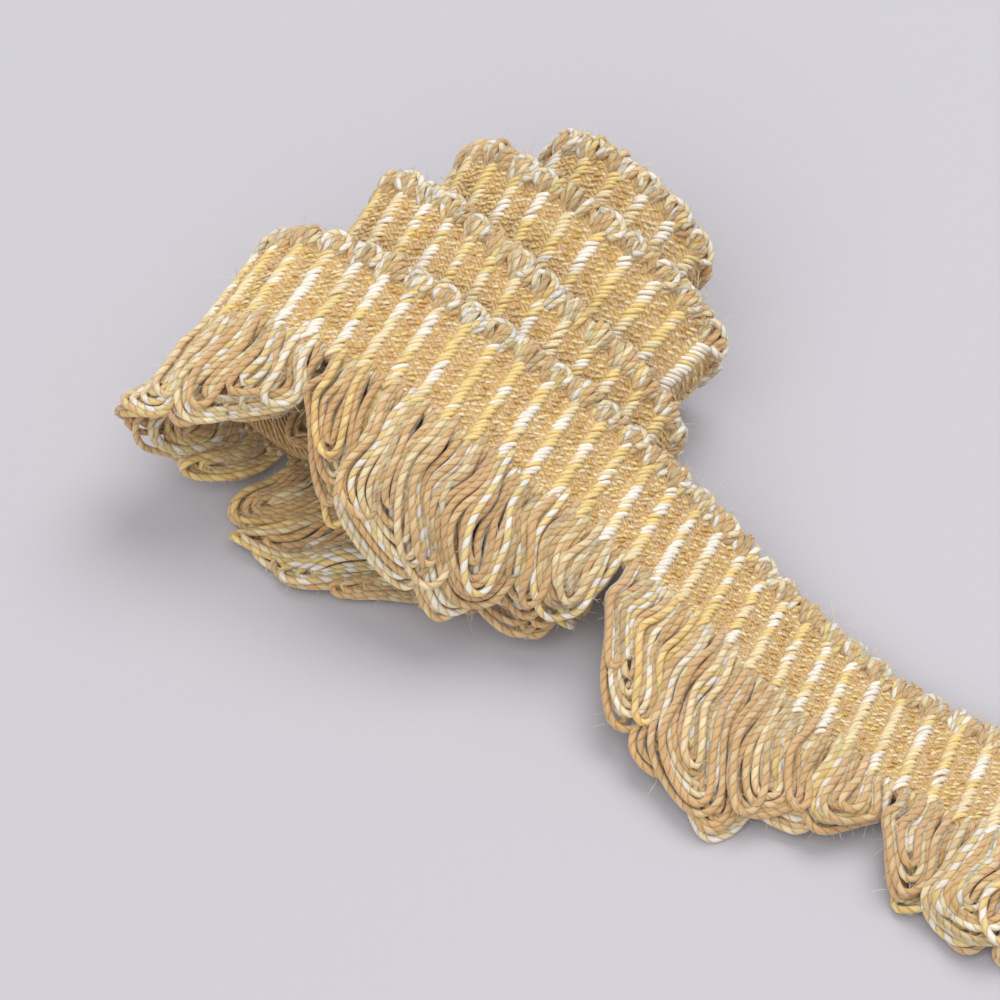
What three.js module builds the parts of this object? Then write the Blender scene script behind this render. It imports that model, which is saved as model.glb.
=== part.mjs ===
// Fan edge trim: a woven, ribbed heading with a knobbly picot selvedge on one
// side and a skirt of looped yarn fans on the other. The strip is wound loosely
// into a coil that lies on its side, each inner turn standing out further to the
// back, and its outer end is drawn out along the table.
// Millimetres, +Z up, resting on Z = 0, the box's middle over the origin.
import * as THREE from 'three';

// Driving dimensions
const HEADING_WIDTH = 14;       // from the fans' root line to the picot edge
const GROUND_HALF = 0.75;       // half the thickness of the woven ground
const RIB_PITCH = 3.5;
const RIB_HEIGHT = 0.5;         // a rib's rise on the outer face
const KNOB_REACH = 0.9;         // a picot knob's reach past the selvedge
const RIBS_IN_FAN = 11;
const FAN_COUNT = 10;
const RIBS = RIBS_IN_FAN * FAN_COUNT + 1;
const FIRST_VALLEY = 2.2;       // strip left before the first fan
const FAN_PITCH = RIBS_IN_FAN * RIB_PITCH;
const PIECE_GAP = 0.65;         // between the heading and a fan's bound edge
const BOUND_WIDTH = 1.15;       // the bound edge that holds a fan's loops
const LOCKS_IN_FAN = 16;
const LOCK_FILL = 0.85;         // share of a lock's pitch that is yarn
const ROLL_AZIMUTH = 60;        // degrees from +X to the roll's axis
const ROLL_PLACE = [-19.72, 13.05, 0];   // the roll's own zero in the part's frame

// The strip's lie, one row for each bend, from the loose end inwards:
// b across the roll, z up and a along its axis place the fans' root line;
// lean_b and lean_z are how far the picot edge stands off it that way.
const LIE = [
  // b,    z,    a,     lean_b, lean_z
  [97.0,  3.4, -14.6, -1.5, -1.8],   // loose end on the table
  [80.0,  3.4, -16.4, -1.8, -1.8],
  [66.0,  3.4, -17.0, -2.0, -1.8],
  [52.0,  3.6, -15.8, -2.0, -1.8],
  [38.0,  4.6, -12.0, -1.6, -1.8],
  [25.0,  8.0,  -8.9, -1.0, -0.5],   // climbs on to the roll
  [10.0, 14.6,  -8.3,  0.0,  1.5],
  [-4.0, 19.9,  -8.4,  0.0,  2.4],
  [-17.0, 22.2, -8.0,  0.0,  2.2],   // first turn, top
  [-27.0, 22.0, -8.2,  0.0,  1.4],
  [-32.5, 16.8, -8.2,  0.0,  1.0],
  [-32.0, 8.5,  -7.8,  0.0,  0.0],
  [-25.0, 2.4,  -7.0,  0.0,  0.0],
  [-14.0, 1.2,  -6.0,  0.0,  0.0],   // first turn, flat on the table
  [5.0,   1.2,  -4.5,  0.0,  0.0],
  [14.0,  3.4,  -3.0, -0.5,  0.0],
  [15.5,  8.0,  -1.2, -0.6,  1.2],
  [9.2,  11.6,  -0.2,  0.6,  3.9],
  [-1.0, 16.8,   0.8,  0.0,  4.6],
  [-9.0, 19.3,   2.4,  0.0,  4.0],   // second turn, top
  [-17.0, 20.0,  4.7,  0.0,  3.4],
  [-24.0, 18.3,  6.0,  0.0,  3.2],
  [-27.0, 12.0,  6.6,  0.5,  1.0],
  [-23.0, 6.0,   7.0,  0.0, -1.0],
  [-13.0, 4.0,   7.2,  0.0, -1.8],
  [1.0,   4.0,   7.8,  0.0, -1.8],
  [9.0,   5.6,   9.4,  1.6, -1.4],
  [11.2,  9.4,  10.8,  3.0,  1.0],
  [5.5,  13.6,  12.0,  2.4,  4.4],
  [-3.0, 17.2,  13.0,  0.6,  5.2],
  [-11.0, 18.2, 14.2,  0.0,  5.2],   // third turn, top
  [-18.0, 17.0, 15.6,  0.0,  5.0],
  [-21.5, 12.0, 16.4,  0.5,  2.4],
  [-17.5, 7.6,  16.6,  0.0, -1.0],
  [-8.0,  6.6,  16.6,  0.0, -1.5],
  [1.4,   7.7,  18.6,  1.2, -1.4],
  [5.4,  11.0,  20.0,  2.0,  0.8],
  [1.4,  14.4,  21.4,  1.6,  3.0],
  [-6.0, 15.8,  23.0,  0.6,  4.6],   // fourth turn, top
  [-12.0, 14.2, 23.6,  0.0,  4.6],
  [-14.0, 10.8, 23.4,  0.5,  2.0],
  [-9.0,  9.2,  23.0,  0.0,  0.0],
  [-3.0, 10.2,  23.0,  0.0,  0.0],
];

// The fans, one line each, from the loose end inwards. A loop's tip lies off its
// root by a, b and z: at the valley where the fan starts and at its quarters. The
// next line's first entry is the valley where it ends.
const ROWS_IN_FAN = 4;
const TIPS = [
  [-4.0, 0.5, -1.4], [-9.0, -0.5, -2.4], [-10.5, -3.0, -2.6], [-9.5, -5.0, -2.5],
  [-2.8, -0.6, -1.4], [-8.5, 2.0, -3.0], [-16.0, 2.5, -3.9], [-13.5, -1.0, -4.0],
  [-5.0, -0.5, -3.6], [-7.5, 1.5, -8.5], [-12.0, 1.5, -11.5], [-11.0, -2.0, -9.0],
  [-3.5, -1.0, -4.5], [-12.0, -1.0, -5.0], [-11.0, -4.0, -1.5], [-8.0, -2.0, -1.2],
  [-6.5, -2.5, 0.0], [-13.0, -11.0, -0.1], [-16.0, -8.5, 0.0], [-13.5, -9.0, 0.0],
  [-8.5, -1.5, -2.0], [-16.0, 3.5, -8.7], [-17.5, 1.5, -9.5], [-15.5, 1.0, -7.5],
  [-7.0, 0.0, -3.0], [-13.5, 1.5, -1.8], [-15.0, 2.0, -1.5], [-13.5, 1.5, 0.0],
  [-7.0, 0.0, 1.6], [-11.5, -2.5, -0.5], [-12.5, -3.0, -1.0], [-11.5, -2.5, -1.5],
  [-7.0, 0.0, -3.0], [-12.5, 1.5, -2.2], [-14.0, 2.0, -2.0], [-12.5, 1.5, -1.5],
  [-7.0, 0.0, 0.6], [-12.0, -1.0, -2.0], [-13.0, -1.0, -2.5], [-12.0, -1.0, -2.0],
  [-7.0, 0.0, 0.0],
];
const LOOPS_THICK = [2.2, 2.2, 2.2, 2.2, 2.0, 1.6, 1.2, 1.2, 1.2, 1.2];   // how deep each fan lies

// A lock's rings: share of the way to the tip, then of its full width and depth
const LOCK_RINGS = [[0.32, 1, 1], [0.62, 1, 1], [0.88, 1, 0.95], [1, 0.55, 0.5]];

// The heading's section, out from the root line: x across and h out of its
// middle, over the ribbed face, round the picot edge and back under
const G = GROUND_HALF;
const W = HEADING_WIDTH;
const RIB_TOP = G + RIB_HEIGHT;
const ON_RIB = [
  [0, G + RIB_HEIGHT * 0.5], [4.6, RIB_TOP], [9.0, RIB_TOP], [11.0, G * 0.7],
  [W - 1.2, G + RIB_HEIGHT * 0.6], [W + KNOB_REACH, 0.1], [W - 1.3, -G], [0, -G],
];
const BETWEEN_RIBS = [
  [0, G * 0.9], [4.6, G * 0.9], [9.0, G * 0.85], [11.0, G * 0.65],
  [W - 1.5, G * 0.6], [W - 0.6, -0.1], [W - 1.6, -G], [0, -G],
];
const RIB_STATIONS = [[0.3, ON_RIB], [0.7, ON_RIB], [1, BETWEEN_RIBS]];   // shares of a rib's pitch

const STEPS_IN_ROW = 24;        // points of the root line from one row to the next
const AIM = 0.6;                // reach either way when a direction along the strip is taken
const TIP_AIM = 0.03;           // the same along a loop, as a share of its length
const ROUNDED = 1e-6;           // keeps two rows at one place apart

const RADIANS = Math.PI / 180;
const AXIS = [Math.cos(ROLL_AZIMUTH * RADIANS), Math.sin(ROLL_AZIMUTH * RADIANS), 0];
const ACROSS = [AXIS[1], -AXIS[0], 0];

const add = (p, q, k = 1) => [p[0] + q[0] * k, p[1] + q[1] * k, p[2] + q[2] * k];
const sub = (p, q) => add(p, q, -1);
const mix = (p, q, t) => p.map((v, i) => v + (q[i] - v) * t);
const size = (p) => Math.hypot(p[0], p[1], p[2]);
const unit = (p) => mix([0, 0, 0], p, 1 / size(p));
const cross = (p, q) => [
  p[1] * q[2] - p[2] * q[1],
  p[2] * q[0] - p[0] * q[2],
  p[0] * q[1] - p[1] * q[0],
];
const inRoll = (a, b, z) => [a * AXIS[0] + b * ACROSS[0], a * AXIS[1] + b * ACROSS[1], z];

// A smooth curve through the rows: each stretch is a cubic whose end slopes
// follow the square roots of the distances to the neighbouring rows.
function throughRows(rows, steps) {
  const first = mix(rows[1], rows[0], 2);
  const last = mix(rows[rows.length - 2], rows[rows.length - 1], 2);
  const all = [first, ...rows, last];
  const gap = (p, q) => Math.max(Math.sqrt(size(sub(q, p))), ROUNDED);
  const out = [];
  for (let i = 1; i < all.length - 2; i++) {
    const [p0, p1, p2, p3] = all.slice(i - 1, i + 3);
    const [t0, t1, t2] = [gap(p0, p1), gap(p1, p2), gap(p2, p3)];
    const leave = p1.map((v, k) => t1 * ((v - p0[k]) / t0 - (p2[k] - p0[k]) / (t0 + t1) + (p2[k] - v) / t1));
    const arrive = p2.map((v, k) => t1 * ((v - p1[k]) / t1 - (p3[k] - p1[k]) / (t1 + t2) + (p3[k] - v) / t2));
    for (let j = 0; j < steps; j++) {
      const t = j / steps;
      const tt = t * t;
      const ttt = tt * t;
      out.push(p1.map((v, k) => (2 * ttt - 3 * tt + 1) * v + (ttt - 2 * tt + t) * leave[k]
        + (3 * tt - 2 * ttt) * p2[k] + (ttt - tt) * arrive[k]));
    }
  }
  out.push(rows[rows.length - 1]);
  return out;
}

// The root line and the direction to the picot edge, pressed flat where it rests
const LINE = throughRows(LIE, STEPS_IN_ROW).map(([b, free, a, leanB, leanZ]) => {
  const z = Math.max(free, RIB_TOP);
  const leanA = Math.sqrt(HEADING_WIDTH ** 2 - leanB ** 2 - leanZ ** 2);
  return { root: inRoll(a, b, z), wide: unit(inRoll(leanA, leanB, leanZ)) };
});
const REACHED = [0];
for (let i = 1; i < LINE.length; i++) {
  REACHED.push(REACHED[i - 1] + size(sub(LINE[i].root, LINE[i - 1].root)));
}

// Root point and direction to the picot edge at the length s from the loose end
function placeAt(s) {
  let i = 1;
  while (i < REACHED.length - 1 && REACHED[i] < s) i++;
  const t = (s - REACHED[i - 1]) / (REACHED[i] - REACHED[i - 1]);
  return { root: mix(LINE[i - 1].root, LINE[i].root, t), wide: unit(mix(LINE[i - 1].wide, LINE[i].wide, t)) };
}

// The same with the direction along the strip and out of its ribbed face
function stripAt(s) {
  const here = placeAt(s);
  const along = unit(sub(placeAt(s + AIM).root, placeAt(s - AIM).root));
  return { ...here, along, out: unit(cross(here.wide, along)) };
}

// A closed solid from points and faces, turned to face out at the end
class Shell {
  constructor() {
    this.points = [];
    this.faces = [];
  }
  ring(list) {
    const start = this.points.length;
    this.points.push(...list);
    return list.map((_, i) => start + i);
  }
  quad(a, b, c, d) {
    this.faces.push([a, b, c], [a, c, d]);
  }
  tube(r, q) {
    r.forEach((_, i) => {
      const j = (i + 1) % r.length;
      this.quad(r[i], r[j], q[j], q[i]);
    });
  }
  lid(r) {
    for (let i = 1; i < r.length - 1; i++) this.faces.push([r[0], r[i], r[i + 1]]);
  }
  volume() {
    return this.faces.reduce((sum, [a, b, c]) => {
      const n = cross(this.points[b], this.points[c]);
      return sum + this.points[a][0] * n[0] + this.points[a][1] * n[1] + this.points[a][2] * n[2];
    }, 0);
  }
  geometry() {
    const faces = this.volume() < 0 ? this.faces.map(([a, b, c]) => [a, c, b]) : this.faces;
    const placed = this.points.map((p) => add(p, ROLL_PLACE));
    const geometry = new THREE.BufferGeometry();
    geometry.setAttribute('position', new THREE.Float32BufferAttribute(placed.flat(), 3));
    geometry.setIndex(faces.flat());
    geometry.computeVertexNormals();
    return geometry;
  }
}

// Heading: one woven strip with a raised rib and a picot knob every pitch
function headingSolid() {
  const shell = new Shell();
  const section = (s, shape) => {
    const f = stripAt(s);
    return shell.ring(shape.map(([x, h]) => add(add(f.root, f.wide, x), f.out, h)));
  };
  const fromLast = (ring) => [ring[ring.length - 1], ...ring.slice(0, -1)];
  let before = section(0, BETWEEN_RIBS);
  shell.lid(fromLast(before).reverse());
  for (let rib = 0; rib < RIBS; rib++) {
    for (const [share, shape] of RIB_STATIONS) {
      const ring = section((rib + share) * RIB_PITCH, shape);
      shell.tube(before, ring);
      before = ring;
    }
  }
  shell.lid(fromLast(before));
  return shell.geometry();
}

// How far the tip lies off the root at the length s. It is mixed straight from a
// valley and eased between the rows inside a fan.
function tipOffset(s) {
  const place = Math.min(Math.max((s - FIRST_VALLEY) / FAN_PITCH * ROWS_IN_FAN, 0), TIPS.length - 1 - ROUNDED);
  const row = Math.floor(place);
  const t = place - row;
  const byValley = row % ROWS_IN_FAN === 0 || row % ROWS_IN_FAN === ROWS_IN_FAN - 1;
  return mix(TIPS[row], TIPS[row + 1], byValley ? t : t * t * (3 - 2 * t));
}

// The curved sheet that a fan's loops lie on: from its root a loop starts straight
// on from the heading and bends to its tip, r being the share of the way.
function loopPoint(s, r) {
  const f = placeAt(s);
  const root = add(f.root, f.wide, -PIECE_GAP - BOUND_WIDTH);
  const reach = tipOffset(s);
  const tip = add(root, inRoll(...reach));
  const bend = add(root, f.wide, -0.5 * size(reach));
  return mix(mix(root, bend, r), mix(bend, tip, r), r);
}

// A fan: locks of looped yarn, four-sided and tapering, on a narrow bound edge
function fanSolid(index) {
  const from = FIRST_VALLEY + index * FAN_PITCH + PIECE_GAP / 2;
  const to = from + FAN_PITCH - PIECE_GAP;
  const pitch = (to - from) / LOCKS_IN_FAN;
  const shell = new Shell();
  const bound = (s) => {
    const f = stripAt(s);
    const back = add(f.root, f.wide, -PIECE_GAP);
    const front = add(back, f.wide, -BOUND_WIDTH);
    return shell.ring([add(back, f.out, G), add(back, f.out, -G), add(front, f.out, -G), add(front, f.out, G)]);
  };
  const outOfSheet = (s, r) => {
    const ahead = sub(loopPoint(s, Math.min(r + TIP_AIM, 1)), loopPoint(s, r - TIP_AIM));
    return unit(cross(stripAt(s).along, ahead));
  };
  const edge = (p, q, locked) => {
    shell.quad(p[0], q[0], q[1], p[1]);
    shell.quad(p[1], q[1], q[2], p[2]);
    if (!locked) shell.quad(p[2], q[2], q[3], p[3]);
    shell.quad(p[3], q[3], q[0], p[0]);
  };
  let before = bound(from);
  shell.lid(before);
  for (let i = 0; i < LOCKS_IN_FAN; i++) {
    const mid = from + (i + 0.5) * pitch;
    const half = 0.5 * pitch * LOCK_FILL;
    const near = bound(mid - half);
    const far = bound(mid + half);
    edge(before, near, false);
    edge(near, far, true);
    let ring = [near[3], near[2], far[2], far[3]];
    for (const [r, wide, deep] of LOCK_RINGS) {
      const out = outOfSheet(mid, r);
      const one = loopPoint(mid - half * wide, r);
      const two = loopPoint(mid + half * wide, r);
      const h = 0.5 * LOOPS_THICK[index] * deep;
      const next = shell.ring([add(one, out, h), add(one, out, -h), add(two, out, -h), add(two, out, h)]);
      shell.tube(ring, next);
      ring = next;
    }
    shell.lid(ring);
    before = far;
  }
  const end = bound(to);
  edge(before, end, false);
  shell.lid([...end].reverse());
  return shell.geometry();
}

// Assembly
const YARN_GOLD = '#ddb257';
const YARN_TAN = '#d3ab6c';
const YARN_CREAM = '#dcc08c';
const group = new THREE.Group();
group.name = 'fan_edge_trim';
const place = (name, geometry, colour) => {
  const mesh = new THREE.Mesh(geometry, new THREE.MeshStandardMaterial({ color: colour, roughness: 0.9 }));
  mesh.name = name;
  group.add(mesh);
};
place('heading', headingSolid(), YARN_GOLD);
for (let i = 0; i < FAN_COUNT; i++) {
  place(`fan_${String(i + 1).padStart(2, '0')}`, fanSolid(i), i % 2 ? YARN_CREAM : YARN_TAN);
}

export default group;
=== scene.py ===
"""Fan edge trim, wound loosely and laid on its side: a ribbed woven heading with
a picot selvedge, and a skirt of looped two-ply yarn in scalloped fans.

Shapes are worked out in millimetres in the roll's own directions (b across the
roll, z up, a along its axis) and moved to the part's frame as they become meshes.
"""

import math

import bpy
import numpy as np
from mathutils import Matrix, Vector


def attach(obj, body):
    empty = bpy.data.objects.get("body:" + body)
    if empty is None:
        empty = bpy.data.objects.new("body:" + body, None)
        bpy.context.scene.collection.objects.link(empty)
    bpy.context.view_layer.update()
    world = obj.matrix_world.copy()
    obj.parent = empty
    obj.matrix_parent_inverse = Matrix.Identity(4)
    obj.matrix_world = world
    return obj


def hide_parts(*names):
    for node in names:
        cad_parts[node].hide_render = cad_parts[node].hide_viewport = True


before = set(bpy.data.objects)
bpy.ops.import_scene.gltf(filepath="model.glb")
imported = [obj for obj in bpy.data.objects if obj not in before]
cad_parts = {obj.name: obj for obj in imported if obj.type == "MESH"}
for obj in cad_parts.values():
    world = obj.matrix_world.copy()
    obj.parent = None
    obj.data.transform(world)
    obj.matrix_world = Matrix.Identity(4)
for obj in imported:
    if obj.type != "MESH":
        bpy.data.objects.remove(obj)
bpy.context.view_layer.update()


# The heading is one band, 14 mm wide, woven on a narrow loom from gold cotton with
# a thick cord laid in at every rib. It is one strip from end to end, wound four
# times, and all the other yarns are worked into it.
HEADING_WIDTH = 14.0        # from the fans' root line to the picot edge
GROUND_HALF = 0.75
RIB_PITCH = 3.5
RIB_SWELL = 0.3             # the cord's rise in the ground, under its stitches
RIBS = 111
HEADING_LENGTH = RIBS * RIB_PITCH
STEPS_IN_ROW = 24
LOWEST_ROOT = 1.25          # half the ribs' thickness, where a turn lies on the floor
HALF_CHORD = 0.6            # the strip's direction is taken between points this far off
ROLL_AZIMUTH = 60.0         # degrees from +X to the roll's axis
ROLL_PLACE = np.array([-19.72, 13.05, 0.0])
LIE = [
    # b, z and a of the root line, then the picot edge's lean along b and z
    [97.0, 3.4, -14.6, -1.5, -1.8],
    [80.0, 3.4, -16.4, -1.8, -1.8],
    [66.0, 3.4, -17.0, -2.0, -1.8],
    [52.0, 3.6, -15.8, -2.0, -1.8],
    [38.0, 4.6, -12.0, -1.6, -1.8],
    [25.0, 8.0, -8.9, -1.0, -0.5],
    [10.0, 14.6, -8.3, 0.0, 1.5],
    [-4.0, 19.9, -8.4, 0.0, 2.4],
    [-17.0, 22.2, -8.0, 0.0, 2.2],
    [-27.0, 22.0, -8.2, 0.0, 1.4],
    [-32.5, 16.8, -8.2, 0.0, 1.0],
    [-32.0, 8.5, -7.8, 0.0, 0.0],
    [-25.0, 2.4, -7.0, 0.0, 0.0],
    [-14.0, 1.2, -6.0, 0.0, 0.0],
    [5.0, 1.2, -4.5, 0.0, 0.0],
    [14.0, 3.4, -3.0, -0.5, 0.0],
    [15.5, 8.0, -1.2, -0.6, 1.2],
    [9.2, 11.6, -0.2, 0.6, 3.9],
    [-1.0, 16.8, 0.8, 0.0, 4.6],
    [-9.0, 19.3, 2.4, 0.0, 4.0],
    [-17.0, 20.0, 4.7, 0.0, 3.4],
    [-24.0, 18.3, 6.0, 0.0, 3.2],
    [-27.0, 12.0, 6.6, 0.5, 1.0],
    [-23.0, 6.0, 7.0, 0.0, -1.0],
    [-13.0, 4.0, 7.2, 0.0, -1.8],
    [1.0, 4.0, 7.8, 0.0, -1.8],
    [9.0, 5.6, 9.4, 1.6, -1.4],
    [11.2, 9.4, 10.8, 3.0, 1.0],
    [5.5, 13.6, 12.0, 2.4, 4.4],
    [-3.0, 17.2, 13.0, 0.6, 5.2],
    [-11.0, 18.2, 14.2, 0.0, 5.2],
    [-18.0, 17.0, 15.6, 0.0, 5.0],
    [-21.5, 12.0, 16.4, 0.5, 2.4],
    [-17.5, 7.6, 16.6, 0.0, -1.0],
    [-8.0, 6.6, 16.6, 0.0, -1.5],
    [1.4, 7.7, 18.6, 1.2, -1.4],
    [5.4, 11.0, 20.0, 2.0, 0.8],
    [1.4, 14.4, 21.4, 1.6, 3.0],
    [-6.0, 15.8, 23.0, 0.6, 4.6],
    [-12.0, 14.2, 23.6, 0.0, 4.6],
    [-14.0, 10.8, 23.4, 0.5, 2.0],
    [-9.0, 9.2, 23.0, 0.0, 0.0],
    [-3.0, 10.2, 23.0, 0.0, 0.0],
]
ROLL_AXIS = np.array([math.cos(math.radians(ROLL_AZIMUTH)), math.sin(math.radians(ROLL_AZIMUTH)), 0.0])
ROLL_ACROSS = np.array([ROLL_AXIS[1], -ROLL_AXIS[0], 0.0])


def in_roll(a, b, z):
    """The vectors a along the roll's axis, b across it and z up."""
    a, b, z = np.broadcast_arrays(a, b, z)
    return a[..., None] * ROLL_AXIS + b[..., None] * ROLL_ACROSS + z[..., None] * np.array([0.0, 0.0, 1.0])


def unit(v):
    """The same directions with length one."""
    return v / np.maximum(np.linalg.norm(v, axis=-1, keepdims=True), 1e-9)


def smooth(t):
    """Rises from 0 to 1 with level ends: 3 t squared less 2 t cubed, held outside 0 to 1."""
    t = np.clip(t, 0.0, 1.0)
    return t * t * (3.0 - 2.0 * t)


def through_rows(rows, steps):
    """A smooth curve through the rows: each stretch is a cubic whose end slopes
    follow the square roots of the distances to the neighbouring rows."""
    ends = np.vstack([2 * rows[0] - rows[1], rows, 2 * rows[-1] - rows[-2]])
    gaps = np.sqrt(np.linalg.norm(np.diff(ends[:, :3], axis=0), axis=1))[:, None]
    p0, p1, p2, p3 = ends[:-3], ends[1:-2], ends[2:-1], ends[3:]
    t0, t1, t2 = gaps[:-2], gaps[1:-1], gaps[2:]
    leave = t1 * ((p1 - p0) / t0 - (p2 - p0) / (t0 + t1) + (p2 - p1) / t1)
    arrive = t1 * ((p2 - p1) / t1 - (p3 - p1) / (t1 + t2) + (p3 - p2) / t2)
    t = (np.arange(steps) / steps)[None, :, None]
    p1, p2, leave, arrive = p1[:, None], p2[:, None], leave[:, None], arrive[:, None]
    curve = (2 * t**3 - 3 * t**2 + 1) * p1 + (t**3 - 2 * t**2 + t) * leave
    curve = curve + (3 * t**2 - 2 * t**3) * p2 + (t**3 - t**2) * arrive
    return np.vstack([curve.reshape(-1, rows.shape[1]), rows[-1]])


lie = through_rows(np.array(LIE), STEPS_IN_ROW)
root_line = in_roll(lie[:, 2], lie[:, 0], np.maximum(lie[:, 1], LOWEST_ROOT))
lean_a = np.sqrt(HEADING_WIDTH**2 - lie[:, 3] ** 2 - lie[:, 4] ** 2)
width_line = unit(in_roll(lean_a, lie[:, 3], lie[:, 4]))
reached = np.concatenate([[0.0], np.cumsum(np.linalg.norm(np.diff(root_line, axis=0), axis=1))])


def along_curve(s, reached, values):
    """The rows of values at the lengths s, straight between neighbours."""
    return np.stack([np.interp(s, reached, values[:, i]) for i in range(values.shape[1])], axis=-1)


def strip(s):
    """Root point, and the directions along the strip, across it to the picot edge
    and out of its ribbed face, at the lengths s from the loose end."""
    s = np.asarray(s, float)
    root = along_curve(s, reached, root_line)
    wide = unit(along_curve(s, reached, width_line))
    ahead = along_curve(s + HALF_CHORD, reached, root_line)
    behind = along_curve(s - HALF_CHORD, reached, root_line)
    along = unit(ahead - behind)
    return root, along, wide, unit(np.cross(wide, along))


def on_heading(s, x, h):
    """Points x across the heading from its root line and h out of its middle."""
    root, _, wide, out = strip(s)
    x, h = np.broadcast_arrays(x, h)
    return root + wide * x[..., None] + out * h[..., None]


def linear(hex_colour):
    """An sRGB hex colour as linear red, green and blue."""
    c = np.array([int(hex_colour[i:i + 2], 16) for i in (1, 3, 5)]) / 255.0
    return np.where(c <= 0.04045, c / 12.92, ((c + 0.055) / 1.055) ** 2.4)


def make_piece(name, points, quads, caps, corner_uv, dye, material):
    """A mesh piece from points in millimetres: quads in rows of four, caps in rows
    of one polygon each, a UV pair for every corner and one or two dyes for every point."""
    mesh = bpy.data.meshes.new(name)
    corners = np.concatenate([quads.ravel(), caps.ravel()]).astype(np.int32)
    sizes = np.concatenate([np.full(len(quads), 4), np.full(len(caps), caps.shape[1])])
    starts = np.concatenate([[0], np.cumsum(sizes)[:-1]]).astype(np.int32)
    mesh.vertices.add(len(points))
    mesh.vertices.foreach_set("co", ((points + ROLL_PLACE) * 0.001).astype(np.float32).ravel())
    mesh.loops.add(len(corners))
    mesh.loops.foreach_set("vertex_index", corners)
    mesh.polygons.add(len(sizes))
    mesh.polygons.foreach_set("loop_start", starts)
    mesh.polygons.foreach_set("use_smooth", np.ones(len(sizes), bool))
    uv = mesh.uv_layers.new(name="yarn")
    uv.data.foreach_set("uv", corner_uv.astype(np.float32).ravel())
    for first, layer in enumerate(["dye", "second_dye"][:dye.shape[1] // 3]):
        colour = mesh.attributes.new(layer, "FLOAT_COLOR", "POINT")
        rgb = dye[:, 3 * first:3 * first + 3]
        colour.data.foreach_set("color", np.c_[rgb, np.ones(len(dye))].astype(np.float32).ravel())
    mesh.update(calc_edges=True)
    mesh.validate()
    mesh.materials.append(material)
    piece = bpy.data.objects.new(name, mesh)
    bpy.context.scene.collection.objects.link(piece)
    return piece


def add_node(tree, kind, inputs=None, **settings):
    """Adds a node with its settings; an input is a value or a socket to link. A mix
    node's inputs 0, 6 and 7 are its factor and two colours, its output 2 the colour."""
    made = tree.nodes.new(kind)
    for key, value in settings.items():
        setattr(made, key, value)
    for key, value in (inputs or {}).items():
        if isinstance(value, bpy.types.NodeSocket):
            tree.links.new(value, made.inputs[key])
        else:
            made.inputs[key].default_value = value
    return made


def woven_cotton():
    """Gold cotton, closely woven from hard twisted thread: matt, with fine slanting
    threads about 0.45 mm apart in their own pattern, with painted shade where they
    dip, and peach where weft shows."""
    material = bpy.data.materials.new("woven_gold_cotton")
    material.use_nodes = True
    tree = material.node_tree
    tree.nodes.clear()
    uv = add_node(tree, "ShaderNodeUVMap", uv_map="yarn")
    turned = add_node(tree, "ShaderNodeMapping", {"Vector": uv.outputs["UV"], "Rotation": (0, 0, 0.62)})
    threads = add_node(tree, "ShaderNodeTexWave", {
        "Vector": turned.outputs["Vector"], "Scale": 0.7, "Distortion": 3.0, "Detail": 3.0,
        "Detail Scale": 1.6}, wave_type="BANDS", bands_direction="X", wave_profile="SIN")
    fluff = add_node(tree, "ShaderNodeTexNoise", {"Vector": uv.outputs["UV"], "Scale": 1.7, "Detail": 5.0})
    dye = add_node(tree, "ShaderNodeAttribute", attribute_name="dye")
    patchy = add_node(tree, "ShaderNodeMapRange", {
        "Value": fluff.outputs["Fac"], "From Min": 0.42, "From Max": 0.6})
    mixed = add_node(tree, "ShaderNodeMix", {
        0: patchy.outputs["Result"], 6: dye.outputs["Color"], 7: (*PEACH, 1.0)}, data_type="RGBA")
    # Painted shade: the thread bands darken the colour where the threads dip, as the shade in the weave's
    # hollows; the bands also give the threads' own slanting pattern.
    shade = add_node(tree, "ShaderNodeMapRange", {
        "Value": threads.outputs["Fac"], "To Min": 0.78, "To Max": 1.05})
    colour = add_node(tree, "ShaderNodeMix", {
        0: 1.0, 6: mixed.outputs[2], 7: shade.outputs["Result"]},
        data_type="RGBA", blend_type="MULTIPLY")
    bump = add_node(tree, "ShaderNodeBump", {
        "Strength": 0.7, "Distance": 0.00025, "Height": threads.outputs["Fac"]})
    cloth = add_node(tree, "ShaderNodeBsdfPrincipled", {
        "Base Color": colour.outputs[2], "Roughness": 0.8, "IOR": 1.53, "Sheen Weight": 0.25,
        "Sheen Roughness": 0.5, "Normal": bump.outputs["Normal"]})
    add_node(tree, "ShaderNodeOutputMaterial", {"Surface": cloth.outputs["BSDF"]})
    return material


GOLD = linear("#D0A964")
PEACH = linear("#DDBC8F")
SWELL_STRETCH = 1.5
SWELL_CUT = 0.3
SWELL_ENDS = 13.4           # where a rib's swell runs out before the picot edge
SWELL_FADE = 2.0
EDGE_ROUND = 0.3            # how far the root edge's round stands out
PICOT_SELVEDGE = 13.7
FRONT_SINK = 0.1            # the front face lies this much lower than the ground's half
PICOT_ROUND = [0.25, -0.3]  # heights of the two points that round each edge
ROOT_ROUND = [-0.35, 0.3]
SECTION_FRONT = np.array([0.0, 1.0, 2.5, 4.5, 6.5, 8.5, 10.2, 11.4, 12.4, 13.2])
SECTION_BACK = np.array([13.2, 11.5, 9.0, 6.0, 3.0, 0.0])
STATIONS_IN_RIB = 8


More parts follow.
